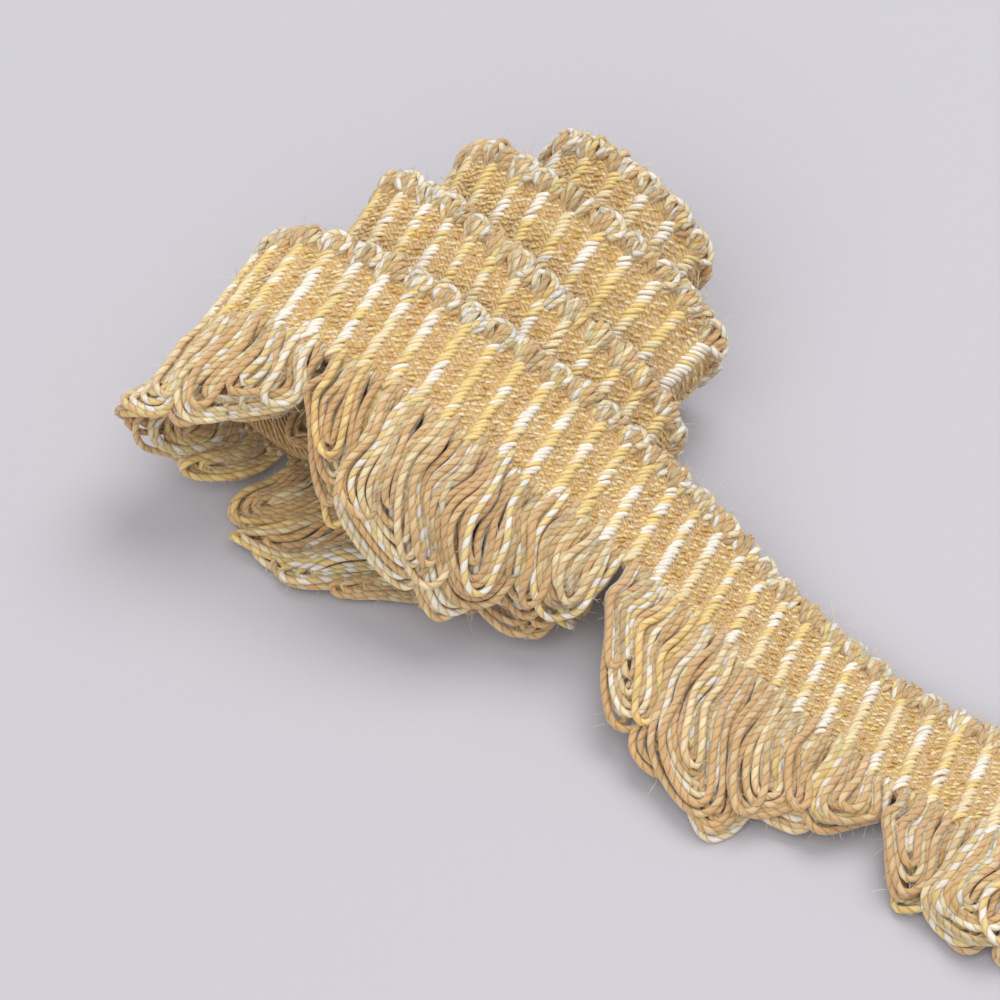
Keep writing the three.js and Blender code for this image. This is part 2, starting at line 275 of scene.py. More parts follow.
def heading_mesh():
    """The band as a grid, lengths along it by places round its section: the front
    face swells over each rib as the squared sine of the share of the pitch, stretched
    and held between 0 and 1; both edges are rounded, and the back is flat."""
    s = np.arange(RIBS * STATIONS_IN_RIB + 1) * RIB_PITCH / STATIONS_IN_RIB
    rib = np.clip(SWELL_STRETCH * np.sin(np.pi * s / RIB_PITCH) ** 2 - SWELL_CUT, 0.0, 1.0)
    x = np.concatenate([SECTION_FRONT, [PICOT_SELVEDGE] * 2, SECTION_BACK, [-EDGE_ROUND] * 2])
    front = len(SECTION_FRONT)
    h = np.concatenate([np.full(front, GROUND_HALF - FRONT_SINK), PICOT_ROUND,
                        np.full(len(SECTION_BACK), -GROUND_HALF), ROOT_ROUND])
    swells = np.zeros(len(x))
    swells[:front] = RIB_SWELL * np.minimum(1.0, (SWELL_ENDS - SECTION_FRONT) / SWELL_FADE)
    points = on_heading(s[:, None], x[None, :], h[None, :] + rib[:, None] * swells[None, :])
    count = len(x)
    ring = np.arange(count)
    far = (ring + 1) % count
    row = (np.arange(len(s) - 1) * count)[:, None]
    quads = np.stack([row + ring, row + far, row + count + far, row + count + ring], axis=-1).reshape(-1, 4)
    caps = np.stack([ring[::-1], ring + (len(s) - 1) * count])
    closed = np.hypot(np.diff(x, append=x[0]), np.diff(h, append=h[0]))
    round_section = np.concatenate([[0.0], np.cumsum(closed)])
    u0, u1 = round_section[ring], round_section[ring + 1]
    v0, v1 = s[:-1, None], s[1:, None]
    corner_uv = np.stack([
        np.broadcast_arrays(u0, v0), np.broadcast_arrays(u1, v0),
        np.broadcast_arrays(u1, v1), np.broadcast_arrays(u0, v1)])
    corner_uv = np.moveaxis(corner_uv, [0, 1], [2, 3]).reshape(-1, 2)
    cap_uv = np.stack([x, h], axis=-1)
    corner_uv = np.concatenate([corner_uv, cap_uv[::-1], cap_uv])
    dye = np.tile(GOLD, (points.shape[0] * count, 1))
    return points.reshape(-1, 3), quads, caps, corner_uv, dye


heading = make_piece("heading_ground", *heading_mesh(), woven_cotton())
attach(heading, "root")
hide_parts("heading")


# The ribs are wrapped with thin viscose yarn as they are woven. Its turns lie close
# and steep over the cord, all slanting the same way, so that a rib looks like a
# twisted cord. White, cream and yellow follow each other in small groups.
STITCH_PITCH = 0.58
STITCH_FIRST = 0.5
STITCHES = 19
STITCH_HALF = 0.68          # half a stitch's reach along the strip
STITCH_SLANT = 0.8          # how far its end to the loose end leads to the picot
STITCH_RADIUS = 0.27
STITCH_FOOT = GROUND_HALF - 0.28
STITCH_RISE = 0.7
STRAND_APART = 61.7         # keeps the strands' yarn maps apart, in mm
WHITE = linear("#F8EEDF")
CREAM = linear("#F1DDB2")
PALE = linear("#ECD08C")


def tube_mesh(paths, normals, step, radius, sides, dye, tip, tip_length):
    """Strands as round tubes: each path is cut into rings a step apart. paths and
    normals hold one row of points for each strand, dye a row of colours; tip is the
    share of the radius left at the very ends and tip_length how soon it is full.
    No strand's middle lies lower than its radius, so that none is in the floor."""
    count = len(paths)
    paths = np.concatenate([paths[..., :2], np.maximum(paths[..., 2:], radius)], axis=-1)
    steps = np.linalg.norm(np.diff(paths, axis=1), axis=2)
    passed = np.concatenate([np.zeros((count, 1)), np.cumsum(steps, axis=1)], axis=1)
    lengths = passed[:, -1]
    rings = np.maximum(4, np.ceil(lengths / step).astype(int) + 1)
    first = np.concatenate([[0], np.cumsum(rings)[:-1]])
    strand = np.repeat(np.arange(count), rings)
    share = (np.arange(rings.sum()) - first[strand]) / (rings[strand] - 1)
    here = share * lengths[strand]
    far = lengths.max() * 2.0 + 1.0
    key = (passed + np.arange(count)[:, None] * far).ravel()
    at = here + strand * far
    centre = along_curve(at, key, paths.reshape(-1, 3))
    way = unit(along_curve(at, key, np.gradient(paths, axis=1).reshape(-1, 3)))
    up = along_curve(at, key, normals.reshape(-1, 3))
    side = unit(np.cross(up, way))
    up = np.cross(way, side)
    full = tip + (1.0 - tip) * np.sqrt(smooth(np.minimum(here, lengths[strand] - here) / tip_length))
    reach = (np.broadcast_to(radius, count)[strand] * full)[:, None]
    place = np.arange(sides)
    angle = 2.0 * np.pi * (place / sides)[None, :]
    points = centre[:, None] + (np.cos(angle) * reach)[..., None] * side[:, None] + (
        np.sin(angle) * reach)[..., None] * up[:, None]
    after = (place + 1) % sides
    inner = np.flatnonzero(share < 1.0 - 1e-9)
    row = (inner * sides)[:, None]
    quads = np.stack([row + place, row + after, row + sides + after, row + sides + place], axis=-1)
    ends = ((first + rings - 1) * sides)[:, None] + place
    caps = np.concatenate([((first * sides)[:, None] + place)[:, ::-1], ends])
    own = here + strand * STRAND_APART
    u0 = np.broadcast_to(place / sides, (len(inner), sides))
    v0 = np.broadcast_to(own[inner][:, None], u0.shape)
    v1 = np.broadcast_to(own[inner + 1][:, None], u0.shape)
    u1 = u0 + 1.0 / sides
    corner_uv = np.stack([u0, v0, u1, v0, u1, v1, u0, v1], axis=-1).reshape(-1, 2)
    corner_uv = np.concatenate([corner_uv, np.zeros((caps.size, 2))])
    colour = np.repeat(dye[strand], sides, axis=0)
    return points.reshape(-1, 3), quads.reshape(-1, 4), caps, corner_uv, colour


def twisted_viscose():
    """Viscose yarn, loosely twisted from bright filament: satin, with hair fine
    streaks along the strand (drawn about 0.2 mm wide so that they show)."""
    material = bpy.data.materials.new("twisted_viscose")
    material.use_nodes = True
    tree = material.node_tree
    tree.nodes.clear()
    uv = add_node(tree, "ShaderNodeUVMap", uv_map="yarn")
    drawn = add_node(tree, "ShaderNodeMapping", {"Vector": uv.outputs["UV"], "Scale": (9.0, 1.1, 1.0)})
    fibre = add_node(tree, "ShaderNodeTexNoise", {
        "Vector": drawn.outputs["Vector"], "Scale": 1.0, "Detail": 3.0, "Roughness": 0.6})
    dye = add_node(tree, "ShaderNodeAttribute", attribute_name="dye")
    shade = add_node(tree, "ShaderNodeMapRange", {
        "Value": fibre.outputs["Fac"], "From Min": 0.3, "From Max": 0.7, "To Min": 0.8, "To Max": 1.06})
    colour = add_node(tree, "ShaderNodeMix", {
        0: 1.0, 6: dye.outputs["Color"], 7: shade.outputs["Result"]},
        data_type="RGBA", blend_type="MULTIPLY")
    bump = add_node(tree, "ShaderNodeBump", {
        "Strength": 0.55, "Distance": 0.00012, "Height": fibre.outputs["Fac"]})
    yarn = add_node(tree, "ShaderNodeBsdfPrincipled", {
        "Base Color": colour.outputs[2], "Roughness": 0.5, "IOR": 1.5, "Sheen Weight": 0.25,
        "Sheen Roughness": 0.4, "Subsurface Weight": 0.3, "Subsurface Scale": 0.0006,
        "Subsurface Radius": (1.0, 0.7, 0.4), "Normal": bump.outputs["Normal"]})
    add_node(tree, "ShaderNodeOutputMaterial", {"Surface": yarn.outputs["BSDF"]})
    return material


def pick_dyes(random, colours, weights, count, run):
    """A dye for each strand, drawn with the weights and kept for runs of like strands."""
    changes = random.random(count) < 1.0 / run
    changes[0] = True
    drawn = random.choice(len(colours), size=count, p=np.array(weights) / np.sum(weights))
    held = np.maximum.accumulate(np.where(changes, np.arange(count), 0))
    shade = 1.0 + random.uniform(-0.07, 0.05, (count, 1))
    return np.array(colours)[drawn[held]] * shade


def every_pair(*counts):
    """The whole numbers below each count in every combination, one array a count."""
    return [numbers.ravel() for numbers in np.indices(counts)]


def rib_stitches():
    """Each stitch is an arch over its rib, steeply slanted. Its height is the square
    root of one less the square of the share from its middle to its end."""
    random = np.random.default_rng(11)
    rib, stitch = every_pair(RIBS, STITCHES)
    count = len(rib)
    t = np.linspace(-1.0, 1.0, 7)[None, :]
    middle = (rib + 0.5) * RIB_PITCH + random.normal(0.0, 0.07, count)
    x0 = STITCH_FIRST + stitch * STITCH_PITCH + random.uniform(-0.12, 0.12, count)
    half = STITCH_HALF * random.uniform(0.82, 1.15, count)
    slant = STITCH_SLANT + random.uniform(-0.14, 0.14, count)
    s = middle[:, None] + half[:, None] * t
    x = x0[:, None] - slant[:, None] * t
    arch = np.sqrt(np.maximum(0.0, 1.0 - t * t))
    h = STITCH_FOOT + (STITCH_RISE + random.uniform(-0.1, 0.1, count)[:, None]) * arch
    paths = on_heading(s, x, h)
    dye = pick_dyes(random, [WHITE, CREAM, PALE], [4, 4, 5], count, 2.0)
    return tube_mesh(paths, strip(s)[3], step=0.5, radius=STITCH_RADIUS, sides=5, dye=dye,
                     tip=0.25, tip_length=0.8)


viscose = twisted_viscose()
stitches = make_piece("rib_stitches", *rib_stitches(), viscose)
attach(stitches, "root")


# Between the ribs the weft comes up as short pale floats of the same viscose, side
# by side down each valley. They are woven in with the ground.
FLOAT_PITCH = 0.78
FLOAT_FIRST = 0.5
COLUMN_PITCH = 0.66
FLOATS = 14
FLOAT_HALF = 0.42
FLOAT_RADIUS = 0.2
FLOAT_FOOT = GROUND_HALF - 0.24
FLOAT_RISE = 0.25


def valley_floats():
    """Each float is a low arch, straight along the strip with a little slant; three
    columns of them stand side by side in a valley, half a pitch out of step."""
    random = np.random.default_rng(12)
    valley, pick, column = every_pair(RIBS - 1, FLOATS, 3)
    valley = valley + 1
    count = len(valley)
    t = np.linspace(-1.0, 1.0, 5)[None, :]
    s = valley * RIB_PITCH + (column - 1.0) * COLUMN_PITCH + random.uniform(-0.16, 0.16, count)
    x = FLOAT_FIRST + (pick + 0.5 * column) * FLOAT_PITCH + random.uniform(-0.16, 0.16, count)
    s = s[:, None] + FLOAT_HALF * t
    x = x[:, None] - random.uniform(0.05, 0.4, count)[:, None] * t
    rise = FLOAT_RISE + random.uniform(-0.12, 0.12, count)[:, None]
    h = FLOAT_FOOT + rise * np.sqrt(np.maximum(0.0, 1.0 - t * t))
    dye = pick_dyes(random, [PEACH, PALE, GOLD, CREAM], [4, 4, 3, 2.5], count, 1.2)
    return tube_mesh(on_heading(s, x, h), strip(s)[3], step=0.4, radius=FLOAT_RADIUS, sides=4,
                     dye=dye, tip=0.3, tip_length=0.4)


floats = make_piece("valley_floats", *valley_floats(), viscose)
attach(floats, "root")


# The picot edge: at every rib the weft yarns run out past the selvedge and turn
# back round it, so that they stand there as a small fanned knob of two-ply yarn. On
# most knobs one pale strand lies in a ring.
PICOT_STRANDS = 8
PICOT_LEAVES = 10.6         # where the strands come out, from the root line
PICOT_EDGE = 13.6           # where they turn over the edge
PICOT_FOOT = 0.95           # half a knob's spread along the strip where it comes out
PICOT_HALF = 1.9            # and at the edge
PICOT_HEIGHT = 0.45         # where they start, out of the heading's middle
PICOT_RISE = 0.95
PICOT_BULGE = 0.95          # how far the turn stands out past the edge
PICOT_TUCK = 0.9            # how far its end comes back under it
PICOT_DROP = 1.2
PICOT_RADIUS = 0.4
PICOT_POINTS = 17
PICOT_WANDER = 0.25
TURNS_AT = 0.5              # share of a strand before it turns over the edge
SPREAD_ENDS = 0.6           # share by which the knob is as wide as it gets
DOME_ENDS = 0.85
KNOB_ROUND = 0.6            # how much less far the outer strands reach
KNOB_CROWN = 0.45           # how much lower they lie, as a share
RINGED_SHARE = 0.6
RING_MIDDLE = 12.7
RING_HALF = [1.25, 1.15]    # half a ring's size along the strip and across it
RING_HEIGHT = 1.5
RING_TILT = 0.25
RING_FROM, RING_TO = -150.0, 130.0      # degrees: a ring is open to the heading
RING_DIP = 0.9              # how far a ring's ends go down
TAN = linear("#D6B07B")
BEIGE = linear("#E2C595")
GOLDEN = linear("#E0BC76")
PLY_TURN = 2.5              # length of one full twist
# painted shade: the colour that the groove between the two plies is multiplied by, standing in for the
# shadow there
GROOVE_PAINTED_SHADE = (0.72, 0.57, 0.42, 1.0)
PLY_PAIRS = [
    # the two plies of a yarn, and how many of ten yarns have them
    (TAN, TAN, 3.6),
    (TAN, BEIGE, 2.6),
    (BEIGE, CREAM, 1.3),
    (WHITE, CREAM, 0.9),
    (WHITE, PALE, 0.8),
    (PALE, GOLDEN, 0.8),
]


def pick_plies(random, count):
    """Two dyes side by side for each yarn, drawn with the pairs' shares, each a
    little lighter or darker than its own hex colour."""
    share = np.array([pair[2] for pair in PLY_PAIRS])
    drawn = random.choice(len(PLY_PAIRS), size=count, p=share / share.sum())
    both = np.array([np.concatenate(pair[:2]) for pair in PLY_PAIRS])[drawn]
    return both * (1.0 + random.uniform(-0.1, 0.06, (count, 1)))


def two_ply_wool():
    """Two-ply yarn of matt staple fibre. The plies' round is the size of the sine of
    the angle less the twist, its sign tells one ply from the other; they meet in a
    groove with painted shade, a darker colour for the shadow between the plies.
    Fibres run along the plies, drawn about 0.2 mm wide to show."""
    material = bpy.data.materials.new("two_ply_yarn")
    material.use_nodes = True
    tree = material.node_tree
    tree.nodes.clear()
    uv = add_node(tree, "ShaderNodeUVMap", uv_map="yarn")
    apart = add_node(tree, "ShaderNodeSeparateXYZ", {0: uv.outputs["UV"]})
    twist = add_node(tree, "ShaderNodeMath", {0: apart.outputs["Y"], 1: 1.0 / PLY_TURN},
                     operation="MULTIPLY")
    place = add_node(tree, "ShaderNodeMath", {0: apart.outputs["X"], 1: twist.outputs["Value"]},
                     operation="SUBTRACT")
    angle = add_node(tree, "ShaderNodeMath", {0: place.outputs["Value"], 1: 2.0 * math.pi},
                     operation="MULTIPLY")
    wave = add_node(tree, "ShaderNodeMath", {0: angle.outputs["Value"]}, operation="SINE")
    ply = add_node(tree, "ShaderNodeMath", {0: wave.outputs["Value"], 1: 0.0}, operation="GREATER_THAN")
    round_ply = add_node(tree, "ShaderNodeMath", {0: wave.outputs["Value"]}, operation="ABSOLUTE")
    along = add_node(tree, "ShaderNodeCombineXYZ", {"X": place.outputs["Value"], "Y": apart.outputs["Y"]})
    drawn = add_node(tree, "ShaderNodeMapping", {
        "Vector": along.outputs["Vector"], "Scale": (14.0, 1.3, 1.0)})
    fibre = add_node(tree, "ShaderNodeTexNoise", {
        "Vector": drawn.outputs["Vector"], "Scale": 1.0, "Detail": 4.0, "Roughness": 0.7})
    dye = add_node(tree, "ShaderNodeAttribute", attribute_name="dye")
    second = add_node(tree, "ShaderNodeAttribute", attribute_name="second_dye")
    base = add_node(tree, "ShaderNodeMix", {
        0: ply.outputs["Value"], 6: dye.outputs["Color"], 7: second.outputs["Color"]}, data_type="RGBA")
    # Painted shade: where the plies meet, the colour is darkened to a warm brown, standing in for the
    # shadow in the groove between them.
    groove = add_node(tree, "ShaderNodeMapRange", {
        "Value": round_ply.outputs["Value"], "From Max": 0.6}, interpolation_type="SMOOTHSTEP")
    groove_shaded = add_node(tree, "ShaderNodeMix", {
        0: 1.0, 6: base.outputs[2], 7: GROOVE_PAINTED_SHADE}, data_type="RGBA", blend_type="MULTIPLY")
    plied = add_node(tree, "ShaderNodeMix", {
        0: groove.outputs["Result"], 6: groove_shaded.outputs[2], 7: base.outputs[2]}, data_type="RGBA")
    streak = add_node(tree, "ShaderNodeMapRange", {
        "Value": fibre.outputs["Fac"], "From Min": 0.3, "From Max": 0.7, "To Min": 0.78, "To Max": 1.14})
    colour = add_node(tree, "ShaderNodeMix", {
        0: 1.0, 6: plied.outputs[2], 7: streak.outputs["Result"]}, data_type="RGBA", blend_type="MULTIPLY")
    plies = add_node(tree, "ShaderNodeBump", {
        "Strength": 0.6, "Distance": 0.00018, "Height": round_ply.outputs["Value"]})
    fine = add_node(tree, "ShaderNodeBump", {
        "Strength": 0.9, "Distance": 0.00014, "Height": fibre.outputs["Fac"],
        "Normal": plies.outputs["Normal"]})
    yarn = add_node(tree, "ShaderNodeBsdfPrincipled", {
        "Base Color": colour.outputs[2], "Roughness": 0.8, "IOR": 1.4, "Sheen Weight": 0.5,
        "Sheen Roughness": 0.5, "Subsurface Weight": 0.45, "Subsurface Scale": 0.001,
        "Subsurface Radius": (1.0, 0.65, 0.35), "Normal": fine.outputs["Normal"]})
    add_node(tree, "ShaderNodeOutputMaterial", {"Surface": yarn.outputs["BSDF"]})
    return material


def picot_rings(random):
    """Pale strands in open rings on top of some of the knobs: s and x go round an
    ellipse, and the sixth power of the place along a ring brings its ends down."""
    ringed = np.flatnonzero(random.random(RIBS) < RINGED_SHARE)[:, None]
    count = len(ringed)
    size = random.uniform(0.8, 1.15, count)[:, None]
    open_ring = np.linspace(RING_FROM, RING_TO, PICOT_POINTS)[None, :]
    angle = np.radians(open_ring + random.uniform(-40, 40, count)[:, None])
    s = (ringed + 0.5) * RIB_PITCH + random.uniform(-0.5, 0.5, count)[:, None]
    s = s + RING_HALF[0] * size * np.sin(angle)
    x = RING_MIDDLE + RING_HALF[1] * size * np.cos(angle)
    ends_down = np.linspace(-1, 1, PICOT_POINTS)[None, :] ** 6
    h = RING_HEIGHT - RING_TILT * size * np.cos(angle) - RING_DIP * ends_down
    dye = np.tile(np.concatenate([WHITE, CREAM]), (count, 1))
    return on_heading(s, x, h), strip(s)[3], dye * random.uniform(0.85, 1.0, (count, 1))


def picot_knobs():
    """A knob's strands leave the heading side by side, rise, fan out to the edge and
    turn down round it to the back: x and h follow a half turn at the edge, and the
    spread grows with the smooth step of the length. A knob's own size and lean are
    drawn for it, and the middle strands lie highest."""
    random = np.random.default_rng(13)
    rib, strand = every_pair(RIBS, PICOT_STRANDS)
    count = len(rib)
    lay = (strand - (PICOT_STRANDS - 1) / 2) / ((PICOT_STRANDS - 1) / 2)
    lay = (lay + random.uniform(-0.15, 0.15, count))[:, None]
    grown = random.uniform(0.82, 1.18, RIBS)[rib][:, None]
    lean = random.uniform(-0.7, 0.5, RIBS)[rib][:, None]
    t = np.linspace(0.0, 1.0, PICOT_POINTS)[None, :]
    turn = smooth((t - TURNS_AT) / (1.0 - TURNS_AT))
    uneven = random.uniform(-0.35, 0.35, count)[:, None]
    reach = PICOT_EDGE + KNOB_ROUND * (grown - 1.0) - KNOB_ROUND * lay**2 + uneven
    leave = PICOT_LEAVES + random.uniform(-0.4, 0.5, count)[:, None] + 0.5 * lay**2
    x = leave + (reach - leave) * np.minimum(t / TURNS_AT, 1.0)
    x = x + np.sin(turn * np.pi) * PICOT_BULGE - turn * PICOT_TUCK
    dome = np.sin(np.pi * np.minimum(t / DOME_ENDS, 1.0)) * (1.0 - KNOB_CROWN * lay**2) * grown
    lift = random.uniform(-0.15, 0.15, count)[:, None] * t
    h = PICOT_HEIGHT + (PICOT_RISE * dome + lift) * (1.0 - turn) - turn * PICOT_DROP
    spread = PICOT_FOOT + (PICOT_HALF * grown - PICOT_FOOT) * smooth(t / SPREAD_ENDS)
    s = (rib + 0.5)[:, None] * RIB_PITCH + lay * spread
    aside = random.uniform(-1.0, 1.0, count)[:, None]
    s = s + lean * smooth(t) + PICOT_WANDER * np.sin(np.pi * t) * aside
    _, _, wide, out = strip(s)
    normals = unit(out * np.cos(turn * np.pi)[..., None] + wide * np.sin(turn * np.pi)[..., None])
    dye = pick_plies(random, count)
    ring_paths, ring_normals, ring_dye = picot_rings(random)
    paths = np.concatenate([on_heading(s, x, h), ring_paths])
    normals = np.concatenate([normals, ring_normals])
    dye = np.concatenate([dye, ring_dye])
    return tube_mesh(paths, normals, step=0.8, radius=PICOT_RADIUS, sides=6, dye=dye,
                     tip=0.6, tip_length=0.6)


two_ply = two_ply_wool()
picots = make_piece("picot_knobs", *picot_knobs(), two_ply)
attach(picots, "root")


# The fans are the same two-ply yarn, carried out past the heading as it is woven in
# loops, long in the middle of a fan and short at its ends. They leave it bunched
# under the ribs' last stitches and lie in layers, the loops of a nest in each other.
FIRST_VALLEY = 2.2
RIBS_IN_FAN = 11
FAN_PITCH = RIBS_IN_FAN * RIB_PITCH
BOUND_EDGE = 1.8            # from the root line to where the loops are free
TIPS = [
    # a, b and z of a loop's tip off its free root, four rows to a fan, the first
    # of them at a valley
    [-4.0, 0.5, -1.4], [-9.0, -0.5, -2.4], [-10.5, -3.0, -2.6], [-9.5, -5.0, -2.5],
    [-2.8, -0.6, -1.4], [-8.5, 2.0, -3.0], [-16.0, 2.5, -3.9], [-13.5, -1.0, -4.0],
    [-5.0, -0.5, -3.6], [-7.5, 1.5, -8.5], [-12.0, 1.5, -11.5], [-11.0, -2.0, -9.0],
    [-3.5, -1.0, -4.5], [-12.0, -1.0, -5.0], [-11.0, -4.0, -1.5], [-8.0, -2.0, -1.2],
    [-6.5, -2.5, 0.0], [-13.0, -11.0, -0.1], [-16.0, -8.5, 0.0], [-13.5, -9.0, 0.0],
    [-8.5, -1.5, -2.0], [-16.0, 3.5, -8.7], [-17.5, 1.5, -9.5], [-15.5, 1.0, -7.5],
    [-7.0, 0.0, -3.0], [-13.5, 1.5, -1.8], [-15.0, 2.0, -1.5], [-13.5, 1.5, 0.0],
    [-7.0, 0.0, 1.6], [-11.5, -2.5, -0.5], [-12.5, -3.0, -1.0], [-11.5, -2.5, -1.5],
    [-7.0, 0.0, -3.0], [-12.5, 1.5, -2.2], [-14.0, 2.0, -2.0], [-12.5, 1.5, -1.5],
    [-7.0, 0.0, 0.6], [-12.0, -1.0, -2.0], [-13.0, -1.0, -2.5], [-12.0, -1.0, -2.0],
    [-7.0, 0.0, 0.0],
]
YARN_RADIUS = 0.41
LOOP_GAP = 0.86             # from one leg to the next at the root
LOOP_POINTS = 80
FAN_BORDER = 0.3            # kept free at both ends of a fan
HIDDEN_ROOT = 2.2           # a loop's length under the last stitches of its rib
COMES_FREE = 5.0            # length over which a leg leaves its bunch
BUNCHED = 0.32              # how much of the way to its rib's middle a foot is drawn
FOOT_SHARE = 0.75           # a loop's width at the root, of its full width
NEST_DEPTH = 0.42           # the most of its length that a nest's round end takes
BEND_AT = 0.5               # share of a loop's length at which the sheet bends to its tip
FIRST_RADIUS = 0.55         # a nest's innermost loop, in loop gaps
UNEVEN_LEGS = [-0.45, 0.35]
LEG_STEP = 0.25             # how far one leg lies over the middle and the other under it
CURL_WAVES = 1.1            # waves of the side to side curl down a loop
CURL_FULL = 14.0            # length from which a loop curls fully
NEAR_Q = 0.02               # short steps along and across the sheet, for its normals
NEAR_S = 0.3
LAYERS = [
    # height over the sheet's middle, nests in a fan, share of the nests' loops that
    # is there, and share of the fan's reach
    [-0.75, 5, 1.0, 1.0],
    [-0.1, 5, 1.0, 0.985],
    [0.6, 4, 1.0, 0.96],
    [1.15, 6, 0.35, 0.9],
]
SWING = [1.3, 20.0, 17.0]   # size and lengths of the ripples that swing legs sideways
HEAVE = [0.8, 9.0, 12.0]    # and of those that lift and sink them
ROOT_SPREAD = 0.4           # share of the layers' heights that is left at the root
ROOT_RISE = 0.6             # how far the roots stand up over the sheet
ROUNDING = 8                # passes that round a loop's corners off
FLOOR_SHARE = 0.5           # of the layers' heights that is left where they lie on the floor
# How far each fan's tips lean to its first end, as a share of their place in it, and
# how far the loops curl from side to side at its last end.
LEAN = [0.14, 0.1, 0.14, 0.06, 0.1, 0.1, 0.1, 0.1, 0.1, 0.1]
CURL = [1.2, 2.2, 0.8, 0.6, 1.2, 1.0, 1.0, 1.0, 1.0, 1.0]


def tip_reach(s):
    """A tip's offset (a, b, z) from its free root at the lengths s: mixed straight
    from a valley, and as a smooth step between the rows inside a fan."""
    rows = np.array(TIPS)
    place = np.clip((s - FIRST_VALLEY) / FAN_PITCH * 4.0, 0.0, len(rows) - 1.0001)
    k = place.astype(int)
    u = place - k
    share = np.where((k % 4 == 0) | (k % 4 == 3), u, smooth(u))[..., None]
    return rows[k] + (rows[k + 1] - rows[k]) * share


def fan_sheet(s, q):
    """The curved sheet that the loops lie on. At the share q of its length a loop
    is on a quadratic curve that leaves the heading straight and bends to its tip;
    before q = 0 it is straight."""
    root, _, wide, _ = strip(s)
    root = root - wide * BOUND_EDGE
    reach = tip_reach(np.asarray(s, float))
    length = np.linalg.norm(reach, axis=-1, keepdims=True)
    tip = root + in_roll(reach[..., 0], reach[..., 1], reach[..., 2])
    bend = root - wide * BEND_AT * length
    r = np.asarray(q)[..., None]
    curve = root * (1 - r) ** 2 + bend * 2 * r * (1 - r) + tip * r * r
    return np.where(r < 0, root - wide * length * r, curve)


def ripples(random, s, y, size, across, along):
    """A gentle random field over the sheet: three plane sine waves whose lengths
    are about the given ones across the loops and along them."""
    field = 0.0
    for _ in range(3):
        turn_s, turn_y = random.uniform(0.7, 1.4, 2) * 2.0 * np.pi / np.array([across, along])
        phase = turn_s * s * random.choice([-1.0, 1.0]) + turn_y * y
        field = field + np.sin(phase + random.uniform(0, 6.28))
    return field * size / 3.0


def nest_loops(random, start, layer):
    """The loops of one layer: cuts part the fan into nests, and a nest's loops are
    hairpins round one centre. Gives each loop's middle, its nest's half width, its
    radius and its share of the fan's reach."""
    nests = int(layer[1])
    cuts = start + FAN_PITCH * np.arange(nests + 1) / nests
    cuts[1:-1] += random.uniform(-0.3, 0.3, nests - 1) * FAN_PITCH / nests
    half = np.diff(cuts) / 2
    loops = np.maximum(1, np.round(half / LOOP_GAP * layer[2])).astype(int)
    nest = np.repeat(np.arange(nests), loops)
    order = np.arange(len(nest)) - np.concatenate([[0], np.cumsum(loops)[:-1]])[nest]
    radius = half[nest] * (order + FIRST_RADIUS) / loops[nest]
    reach = layer[3] * random.uniform(0.95, 1.04, nests)[nest]
    return ((cuts[:-1] + cuts[1:]) / 2)[nest], half[nest], radius, reach


